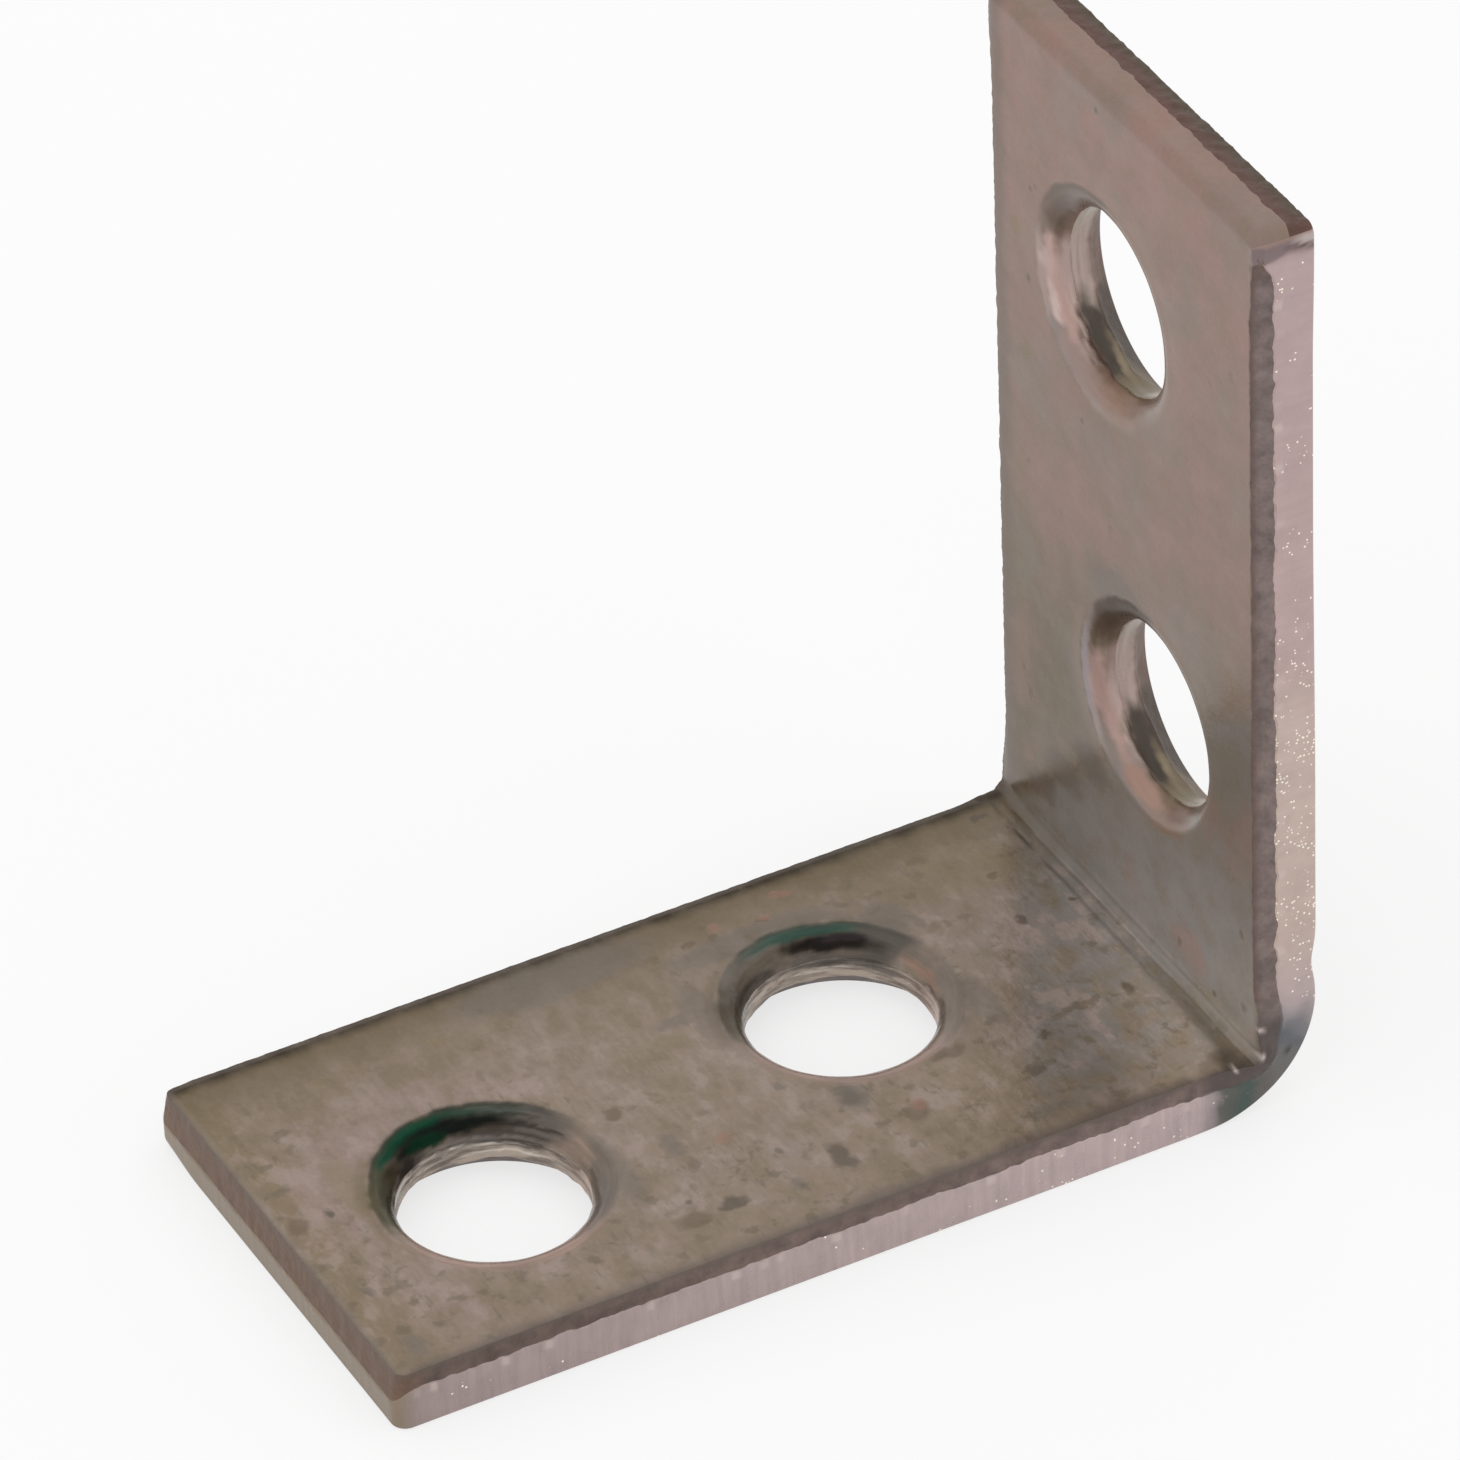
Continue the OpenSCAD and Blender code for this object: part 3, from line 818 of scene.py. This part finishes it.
faint = add(tree, "Math", {0: strength, 1: 3.0}, operation="POWER").outputs[0]
for layer in (
    ("#7f6f57", clouds, 0.47, 0.66, 0.45, strength),
    ("#8e817b", clouds, 0.47, 0.3, 0.4, strength),
    ("#956c60", hues, 0.51, 0.62, 0.32, on_wall),
    ("#736f66", hues, 0.49, 0.38, 0.32, on_wall),
    ("#776750", mottle, 0.5, 0.64, 0.55, strength),
    ("#9f8d84", mottle, 0.48, 0.36, 0.5, faint),
    ("#736455", streaks, 0.52, 0.66, 0.2, faint),
    ("#9e8d84", streaks, 0.48, 0.34, 0.2, faint),
):
    colour = overlaid(tree, colour, *layer)

# Oil and dirt gathered along the margins, and a painted dark reflection, nearly black, along the foot leg's
# rolled far edge
side = add(tree, "Math", {0: mottle, 1: 0.4, 2: cross}, operation="MULTIPLY_ADD").outputs[0]
near = add(tree, "Math", {0: cross, 1: -1.0}, operation="MULTIPLY").outputs[0]
near = add(tree, "Math", {0: mottle, 1: 2.2, 2: near}, operation="MULTIPLY_ADD").outputs[0]
for layer in (
    ("#6b5b3b", side, 2.4, 5.4, 0.5, on_foot),
    ("#5f4e2f", side, 4.6, 6.0, 0.7, on_foot),
    ("#7c6b56", near, 4.9, 7.2, 0.5, on_foot),
    ("#65564b", side, 5.35, 5.95, 0.6, on_wall),
):
    colour = overlaid(tree, colour, *layer)
# The painted dark reflection along the foot leg's far edge
far_edge_dark_reflection = add(tree, "MapRange", {0: side, 1: 5.76, 2: 6.42}, **SMOOTH).outputs[0]
far_edge_dark_reflection = add(tree, "Math", {0: far_edge_dark_reflection, 1: on_foot}, operation="MULTIPLY").outputs[0]
colour = add(tree, "Mix", {0: far_edge_dark_reflection, 6: colour, 7: linear("#160c04")}, data_type="RGBA").outputs[2]

# Stains and nicks as they lie on the real bracket: place along and across the strip, and half lengths
STAINS = (
    ("#66543f", 0.7, (
        (9.06, -0.2, 0.24, 0.26), (8.8, -4.7, 0.42, 0.32), (17.1, -2.2, 0.5, 0.22),
        (15.4, -3.8, 0.3, 0.32), (0.6, -0.1, 0.3, 0.3), (13.65, 4.7, 0.2, 0.14),
        (14.4, 4.65, 0.14, 0.12), (15.7, 4.65, 0.18, 0.12), (20.1, 4.7, 0.3, 0.16),
    )),
    ("#4f4334", 0.75, (
        (9.9, -4.6, 0.4, 0.2), (13.0, -4.35, 0.26, 0.55), (18.6, -3.9, 0.26, 0.24),
        (14.3, -2.5, 0.3, 0.42), (19.45, -2.8, 0.15, 0.16), (21.2, 1.4, 0.11, 0.2),
        (21.4, 3.3, 0.12, 0.12), (22.1, -2.2, 0.16, 0.28), (1.5, 0, 0.12, 0.15), (22.3, 5.5, 0.2, 0.12),
        (22.7, 1.5, 0.1, 0.14),
    )),
    ("#6a6158", 0.55, (
        (9.7, -1.9, 0.24, 0.5), (14.3, -2.5, 0.45, 0.62), (19.0, 2.6, 0.16, 0.28),
        (12.3, 2.2, 0.75, 0.26), (1.0, -5.4, 0.24, 0.45), (0.95, -3.1, 0.16, 0.18),
        (11.6, -4.75, 0.2, 0.22), (13.0, -1.3, 0.16, 0.18), (10.2, 5.2, 2.8, 0.8), (8.1, -2.0, 0.4, 1.5),
        (15.2, 4.15, 2.4, 0.45), (18.4, 3.2, 0.6, 0.7), (12.8, 2.0, 0.5, 1.3), (18.8, -0.8, 0.4, 1.1),
        (33.0, 0.2, 0.7, 1.6),
    )),
    ("#5f5b56", 0.3, (
        (20.2, -4.6, 0.6, 0.5), (20.9, -3.4, 0.35, 0.25), (18.1, -5.4, 0.8, 0.25),
        (34.78, 0.6, 0.13, 0.13), (41.93, -4.2, 0.13, 0.13), (42.73, -5.2, 0.16, 0.12),
        (34.93, -4.2, 0.14, 0.12), (33.73, 3.0, 0.14, 0.12),
    )),
    ("#7d6c4c", 0.45, (
        (11.5, 1.6, 0.42, 0.32), (3.5, 4.55, 0.3, 0.15), (4.5, 4.6, 0.26, 0.2), (6.7, 4.5, 0.26, 0.2),
        (20.6, 3.9, 1.6, 0.9), (2.3, 0.6, 0.5, 1.2), (37.63, 4.5, 0.3, 0.3), (40.98, 5.0, 0.25, 0.3),
        (43.73, 4.2, 0.16, 0.14),
    )),
    ("#946a58", 0.5, (
        (10.9, -2.3, 0.2, 0.2), (16.6, 5.3, 0.35, 0.14), (14.5, 4.95, 0.2, 0.14),
        (15.8, 4.75, 0.18, 0.14), (15.5, -3.6, 0.2, 0.2), (37.73, -2.1, 0.14, 0.14),
        (44.93, -1.3, 0.14, 0.14), (18.0, -0.3, 0.12, 0.7),
    )),
    ("#5b4f45", 0.5, (
        (22.7, -5.75, 0.4, 0.3), (23.0, -6.0, 0.22, 0.2), (22.2, -5.9, 0.3, 0.3), (24.7, 4.2, 0.45, 0.8),
        (25.8, 3.1, 0.5, 0.9), (27.0, 1.7, 0.5, 0.9), (26.53, -5.5, 0.13, 0.13),
        (24.33, -5.6, 0.16, 0.13), (24.28, -2.5, 0.13, 0.13), (27.23, 4.7, 0.16, 0.13),
    )),
)
jitter = add(tree, "TexNoise", {"Vector": place, "Scale": 2.2, "Detail": 2}).outputs["Color"]
jitter = add(tree, "VectorMath", {0: jitter, 1: (0.5, 0.5, 0.5)}, operation="SUBTRACT").outputs[0]
half_jitter = {0: jitter, 1: (0.5, 0.5, 0), 2: place}
ragged = add(tree, "VectorMath", half_jitter, operation="MULTIPLY_ADD").outputs[0]
stained = 0.0
for over, most, marks in STAINS:
    nearest = 9.0
    for s, v, half_s, half_v in marks:
        size, offset = (1 / half_s, 1 / half_v, 0), (-s / half_s, -v / half_v, 0)
        reach = add(tree, "VectorMath", {0: ragged, 1: size, 2: offset}, operation="MULTIPLY_ADD").outputs[0]
        reach = add(tree, "VectorMath", {0: reach}, operation="LENGTH").outputs["Value"]
        nearest = add(tree, "Math", {0: nearest, 1: reach}, operation="MINIMUM").outputs[0]
    share = add(tree, "MapRange", {0: nearest, 1: 1.35, 2: 0.6, 4: most}, **SMOOTH).outputs[0]
    colour = add(tree, "Mix", {0: share, 6: colour, 7: linear(over)}, data_type="RGBA").outputs[2]
    stained = add(tree, "Math", {0: stained, 1: share}, operation="MAXIMUM").outputs[0]

# Smaller blotches and nicks between them, crowded towards the near side and the fold
crowd = add(tree, "TexNoise", {"Vector": place, "Scale": 0.45, "Detail": 2}).outputs[0]
crowd = add(tree, "Math", {0: cross, 1: -0.014, 2: crowd}, operation="MULTIPLY_ADD").outputs[0]
crowd = add(tree, "MapRange", {0: crowd, 1: 0.38, 2: 0.62, 3: 0.15}).outputs[0]
crowd = add(tree, "Math", {0: crowd, 1: on_foot}, operation="MULTIPLY").outputs[0]
blotch = add(tree, "TexNoise", {"Vector": place, "Scale": 2.0, "Detail": 3, "Roughness": 0.5}).outputs[0]
nicked = add(tree, "VectorMath", {0: place, 1: (5.5, 1.5, 1)}, operation="MULTIPLY").outputs[0]
nicks = add(tree, "TexNoise", {"Vector": nicked, "Scale": 1, "Detail": 2}).outputs[0]
colour = overlaid(tree, colour, "#615440", blotch, 0.56, 0.68, 0.6, crowd)
colour = overlaid(tree, colour, "#5d5346", nicks, 0.62, 0.74, 0.45, crowd)

# Pinholes in the plate, a fifth of a millimetre across
pins = add(tree, "TexVoronoi", {"Vector": place, "Scale": 0.75})
pin = add(tree, "MapRange", {0: pins.outputs[0], 1: 0.1, 2: 0.05, 4: 0.6}).outputs[0]
chosen = add(tree, "SeparateXYZ", {0: pins.outputs[1]}).outputs[0]
chosen = add(tree, "Math", {0: chosen, 1: 0.72}, operation="GREATER_THAN").outputs[0]
pin = add(tree, "Math", {0: pin, 1: chosen}, operation="MULTIPLY").outputs[0]
colour = add(tree, "Mix", {0: pin, 6: colour, 7: linear("#4a3f33")}, data_type="RGBA").outputs[2]

# The fold shades itself, so the plate is painted paler there: painted light, strongest on the near side and
# on the foot leg
from_fold = add(tree, "Math", {0: run, 1: CREASE}, operation="SUBTRACT").outputs[0]
from_fold = add(tree, "Math", {0: from_fold}, operation="ABSOLUTE").outputs[0]
reach = add(tree, "MapRange", {0: on_wall, 3: 3.6, 4: 6.0}).outputs[0]
fold_fill_light = add(tree, "Math", {0: from_fold, 1: reach}, operation="DIVIDE").outputs[0]
fold_fill_light = add(tree, "MapRange", {0: fold_fill_light, 1: 1.0, 2: 0.0, 4: 0.76}).outputs[0]
most = add(tree, "MapRange", {0: on_wall, 3: 1.95, 4: 0.98}).outputs[0]
nearer = add(tree, "MapRange", {0: cross, 1: 5.5, 2: -6.0, 3: 0.2, 4: most}, **SMOOTH).outputs[0]
fold_fill_light = add(tree, "Math", {0: fold_fill_light, 1: nearer, 2: 1.0}, operation="MULTIPLY_ADD").outputs[0]
colour = add(tree, "VectorMath", {0: colour, 3: fold_fill_light}, operation="SCALE").outputs[0]

# Grain of the plate, 0.15 mm across, and the films over it with rings where the punch went down
grain = add(tree, "TexNoise", {"Vector": place, "Scale": 7, "Detail": 3, "Roughness": 0.7}).outputs[0]
colour = shaded(tree, colour, grain, 0.3, 0.7, 0.95, 1.05)
ringed = add(tree, "VectorMath", {0: turn, 1: (1.8, 1.8, 6)}, operation="MULTIPLY").outputs[0]
rings = add(tree, "TexNoise", {"Vector": ringed, "Scale": 1, "Detail": 3, "Roughness": 0.6}).outputs[0]
even = add(tree, "MapRange", {0: on_wall, 4: 0.7}).outputs[0]
covered = shaded(tree, film, rings, 0.35, 0.65, 0.8, 1.2, [even])
colour = add(tree, "Mix", {0: covering, 6: colour, 7: covered}, data_type="RGBA").outputs[2]
tree.links.new(colour, shader.inputs["Base Color"])
shader.inputs["Metallic"].default_value = 0.24
gloss = add(tree, "Math", {0: stained, 1: 0.12, 2: 0.18}, operation="MULTIPLY_ADD").outputs[0]
gloss = add(tree, "Math", {0: mottle, 1: 0.14, 2: gloss}, operation="MULTIPLY_ADD").outputs[0]
tree.links.new(gloss, shader.inputs["Roughness"])
# Where the film is dark, with painted shade, painted dark reflections and dark dirt, and along the foot
# leg's far edge, the shine is turned down
dark = add(tree, "RGBToBW", {0: film}).outputs[0]
palest = add(tree, "MapRange", {0: on_wall, 3: 0.12, 4: 0.22}).outputs[0]
darkest = add(tree, "MapRange", {0: on_wall, 3: 0.03, 4: 0.08}).outputs[0]
dark = add(tree, "MapRange", {0: dark, 1: palest, 2: darkest}).outputs[0]
dark = add(tree, "Math", {0: dark, 1: covering}, operation="MULTIPLY").outputs[0]
dark = add(tree, "Math", {0: dark, 1: far_edge_dark_reflection}, operation="MAXIMUM").outputs[0]
shine = add(tree, "MapRange", {0: dark, 3: 0.5, 4: 0.04}).outputs[0]
tree.links.new(shine, shader.inputs["Specular IOR Level"])
height = add(tree, "Math", {0: grain, 1: 0.1, 2: mottle}, operation="MULTIPLY_ADD").outputs[0]
flatter = add(tree, "MapRange", {0: on_wall, 4: 0.5}).outputs[0]
height = add(tree, "Mix", {0: flatter, 2: height, 3: 0.5}, data_type="FLOAT").outputs[0]
bump = add(tree, "Bump", {"Height": height, "Distance": 0.00003, "Strength": 1.0})
tree.links.new(bump.outputs[0], shader.inputs["Normal"])
shape.materials.append(plate)

# Burnished steel under thin zinc: the shear rubbed it bright and drew fine lines through the thickness,
# and round the bores. It is the palest and most even of the three finishes.
burnished = bpy.data.materials.new("burnished_shear_band")
burnished.use_nodes = True
tree = burnished.node_tree
shader = tree.nodes["Principled BSDF"]
place = add(tree, "Attribute", attribute_name="strip").outputs["Vector"]
run = add(tree, "SeparateXYZ", {0: place}).outputs[0]
dirt_and_painted_light = add(tree, "Attribute", attribute_name="film").outputs
film, covering = dirt_and_painted_light["Color"], dirt_and_painted_light["Alpha"]
turn = add(tree, "Attribute", attribute_name="turned").outputs["Vector"]
in_hole = add(tree, "SeparateXYZ", {0: turn}).outputs[2]
in_hole = add(tree, "MapRange", {0: in_hole, 1: 0.1, 2: 0.3}).outputs[0]
BAND_TONES = [
    (0, "#83725e"), (0.12, "#89786a"), (0.5, "#998984"), (1.2, "#a18f8d"), (11, "#ad9b99"),
    (20, "#b8a5a4"), (24.5, "#b2a09f"), (27, "#c0aca2"), (33, "#c0aca3"), (35, "#b9a19e"),
    (46.4, "#b49e9d"), (46.95, "#8f756c"), (LENGTH, "#8c7368"),
]
colour = tone_along(tree, run, BAND_TONES)
colour = add(tree, "Mix", {0: in_hole, 6: colour, 7: linear("#a4968a")}, data_type="RGBA").outputs[2]
cloud = add(tree, "TexNoise", {"Vector": place, "Scale": 1.1, "Detail": 4, "Roughness": 0.6}).outputs[0]
colour = shaded(tree, colour, cloud, 0.35, 0.65, 0.94, 1.06)

# Shear lines through the thickness, about 0.2 mm apart and fainter on the wall leg
lined = add(tree, "VectorMath", {0: place, 1: (5, 5, 0.35)}, operation="MULTIPLY").outputs[0]
lines = add(tree, "TexNoise", {"Vector": lined, "Scale": 1, "Detail": 4, "Roughness": 0.65}).outputs[0]
fainter = add(tree, "MapRange", {0: run, 1: 22, 2: 26, 4: 0.65}).outputs[0]
for start, end in ((0.6, 0.2), (LENGTH - 0.6, LENGTH - 0.2)):
    by_end = add(tree, "MapRange", {0: run, 1: start, 2: end, 4: 0.9}).outputs[0]
    fainter = add(tree, "Math", {0: fainter, 1: by_end}, operation="MAXIMUM").outputs[0]
colour = shaded(tree, colour, lines, 0.3, 0.7, 0.89, 1.09, [fainter, in_hole])
colour = add(tree, "Mix", {0: covering, 6: colour, 7: film}, data_type="RGBA").outputs[2]

# Rings that the punch drew round the bores, 0.2 mm apart and broken here and there
ringed = add(tree, "VectorMath", {0: turn, 1: (1.8, 1.8, 6)}, operation="MULTIPLY").outputs[0]
rings = add(tree, "TexNoise", {"Vector": ringed, "Scale": 1, "Detail": 3, "Roughness": 0.6}).outputs[0]
lift = add(tree, "MapRange", {0: rings, 1: 0.38, 2: 0.6, 3: 0.58, 4: 1.25}, **SMOOTH).outputs[0]
softer = add(tree, "MapRange", {0: run, 1: 22, 2: 26, 4: 0.8}).outputs[0]
lift = add(tree, "Mix", {0: softer, 2: lift, 3: 1.0}, data_type="FLOAT").outputs[0]
lift = add(tree, "Mix", {0: in_hole, 2: 1.0, 3: lift}, data_type="FLOAT").outputs[0]
colour = add(tree, "VectorMath", {0: colour, 3: lift}, operation="SCALE").outputs[0]

# Painted glints: bright points painted into the colour where grains of zinc catch the light, thickest
# above the fold. They are drawn 0.09 mm apart, coarser than the real ones, so that they show.
grains = add(tree, "TexVoronoi", {"Vector": place, "Scale": 11})
painted_glints = add(tree, "MapRange", {0: grains.outputs[0], 1: 0.38, 2: 0.24}).outputs[0]
chosen = add(tree, "SeparateXYZ", {0: grains.outputs[1]}).outputs[0]
crowd = add(tree, "TexNoise", {"Vector": place, "Scale": 0.9, "Detail": 2}).outputs[0]
above = add(tree, "MapRange", {0: run, 1: 37, 2: 33, 3: 0.975, 4: 0.7}).outputs[0]
below = add(tree, "MapRange", {0: run, 1: 26, 2: 8, 3: 0.26, 4: 0.42}).outputs[0]
foot_only = add(tree, "MapRange", {0: run, 1: 26, 2: 24.5}).outputs[0]
below = add(tree, "Math", {0: below, 1: foot_only}, operation="MULTIPLY").outputs[0]
share = add(tree, "Math", {0: above, 1: below}, operation="ADD").outputs[0]
crowd = add(tree, "MapRange", {0: crowd, 1: 0.42, 2: 0.6, 3: 0.16, 4: -0.16}).outputs[0]
share = add(tree, "Math", {0: share, 1: crowd}, operation="ADD").outputs[0]
chosen = add(tree, "Math", {0: chosen, 1: share}, operation="GREATER_THAN").outputs[0]
middle = add(tree, "Math", {0: run, 1: LENGTH / 2}, operation="SUBTRACT").outputs[0]
middle = add(tree, "Math", {0: middle}, operation="ABSOLUTE").outputs[0]
clear = add(tree, "MapRange", {0: middle, 1: LENGTH / 2 - 0.6, 2: LENGTH / 2 - END_ZONE}).outputs[0]
outside = add(tree, "Math", {0: 1.0, 1: in_hole}, operation="SUBTRACT").outputs[0]
bare = add(tree, "Math", {0: 1.0, 1: covering}, operation="SUBTRACT").outputs[0]
for share in (chosen, clear, outside, bare):
    painted_glints = add(tree, "Math", {0: painted_glints, 1: share}, operation="MULTIPLY").outputs[0]
colour = add(tree, "Mix", {0: painted_glints, 6: colour, 7: linear("#fff6e4")}, data_type="RGBA").outputs[2]
tree.links.new(colour, shader.inputs["Base Color"])
shader.inputs["Metallic"].default_value = 0.4
gloss = add(tree, "MapRange", {0: cloud, 1: 0.3, 2: 0.7, 3: 0.24, 4: 0.36}).outputs[0]
tree.links.new(gloss, shader.inputs["Roughness"])
height = add(tree, "Mix", {0: fainter, 2: lines, 3: 0.5}, data_type="FLOAT").outputs[0]
rings = add(tree, "Mix", {0: softer, 2: rings, 3: 0.5}, data_type="FLOAT").outputs[0]
height = add(tree, "Mix", {0: in_hole, 2: height, 3: rings}, data_type="FLOAT").outputs[0]
bump = add(tree, "Bump", {"Height": height, "Distance": 0.00003, "Strength": 1.0})
tree.links.new(bump.outputs[0], shader.inputs["Normal"])
shape.materials.append(burnished)

# Torn steel, where the metal broke instead of being cut. It is matt and mauve brown, crumbled by half a
# millimetre and finer, and it takes the light unevenly.
torn = bpy.data.materials.new("torn_steel")
torn.use_nodes = True
tree = torn.node_tree
shader = tree.nodes["Principled BSDF"]
place = add(tree, "Attribute", attribute_name="strip").outputs["Vector"]
run = add(tree, "SeparateXYZ", {0: place}).outputs[0]
dirt_and_painted_light = add(tree, "Attribute", attribute_name="film").outputs
film, covering = dirt_and_painted_light["Color"], dirt_and_painted_light["Alpha"]
TORN_TONES = [
    (0, "#6c5342"), (0.4, "#685041"), (0.9, "#635149"), (22, "#72605a"), (24, "#746560"),
    (26, "#7a6a65"), (45.8, "#776764"), (46.7, "#5c3d33"), (LENGTH, "#56372d"),
]
colour = tone_along(tree, run, TORN_TONES)
crumbs = add(tree, "TexNoise", {"Vector": place, "Scale": 2.2, "Detail": 4, "Roughness": 0.55}).outputs[0]
calm = [
    add(tree, "MapRange", {0: run, 1: start, 2: end, 4: 0.7}).outputs[0]
    for start, end in ((0.8, 0.3), (LENGTH - 1, LENGTH - 0.6))
]
colour = shaded(tree, colour, crumbs, 0.3, 0.7, 0.66, 1.3, calm)
fine = add(tree, "TexNoise", {"Vector": place, "Scale": 9, "Detail": 3, "Roughness": 0.6}).outputs[0]
colour = shaded(tree, colour, fine, 0.3, 0.7, 0.92, 1.08)
colour = add(tree, "Mix", {0: covering, 6: colour, 7: film}, data_type="RGBA").outputs[2]
tree.links.new(colour, shader.inputs["Base Color"])
shader.inputs["Metallic"].default_value = 0.2
shader.inputs["Roughness"].default_value = 0.5
height = add(tree, "Math", {0: fine, 1: 0.3, 2: crumbs}, operation="MULTIPLY_ADD").outputs[0]
bump = add(tree, "Bump", {"Height": height, "Distance": 0.00005, "Strength": 1.0})
tree.links.new(bump.outputs[0], shader.inputs["Normal"])
shape.materials.append(torn)


# The bracket stands on a plain white table under an even white studio sky. The camera and the metal's
# reflections see the table nearly white, and it still takes the bracket's shadow.
world = bpy.data.worlds.new("studio")
bpy.context.scene.world = world
world.use_nodes = True
world.node_tree.nodes["Background"].inputs["Color"].default_value = (1, 1, 1, 1)

# The table's side in metres, and the share of white glow that the camera and the reflections see
TABLE_SIZE, TABLE_GLOW = 4, 0.72
bpy.ops.mesh.primitive_plane_add(size=TABLE_SIZE)
floor = bpy.context.object
floor.name = "table"
paper = bpy.data.materials.new("white_paper")
paper.use_nodes = True
tree = paper.node_tree
shader = tree.nodes["Principled BSDF"]
shader.inputs["Base Color"].default_value = linear("#f4f4f4")
shader.inputs["Roughness"].default_value = 0.95
shader.inputs["Specular IOR Level"].default_value = 0.1
glow = add(tree, "Emission", {"Color": (1, 1, 1, 1), "Strength": 1.0})
path = add(tree, "LightPath")
seen = path.outputs["Is Camera Ray"]
for ray in ("Is Glossy Ray", "Is Transmission Ray"):
    seen = add(tree, "Math", {0: seen, 1: path.outputs[ray]}, operation="ADD").outputs[0]
seen = add(tree, "Math", {0: seen, 1: TABLE_GLOW}, operation="MULTIPLY").outputs[0]
mixed = add(tree, "MixShader", {0: seen, 1: shader.outputs[0], 2: glow.outputs[0]})
tree.links.new(mixed.outputs[0], tree.nodes["Material Output"].inputs["Surface"])
floor.data.materials.append(paper)
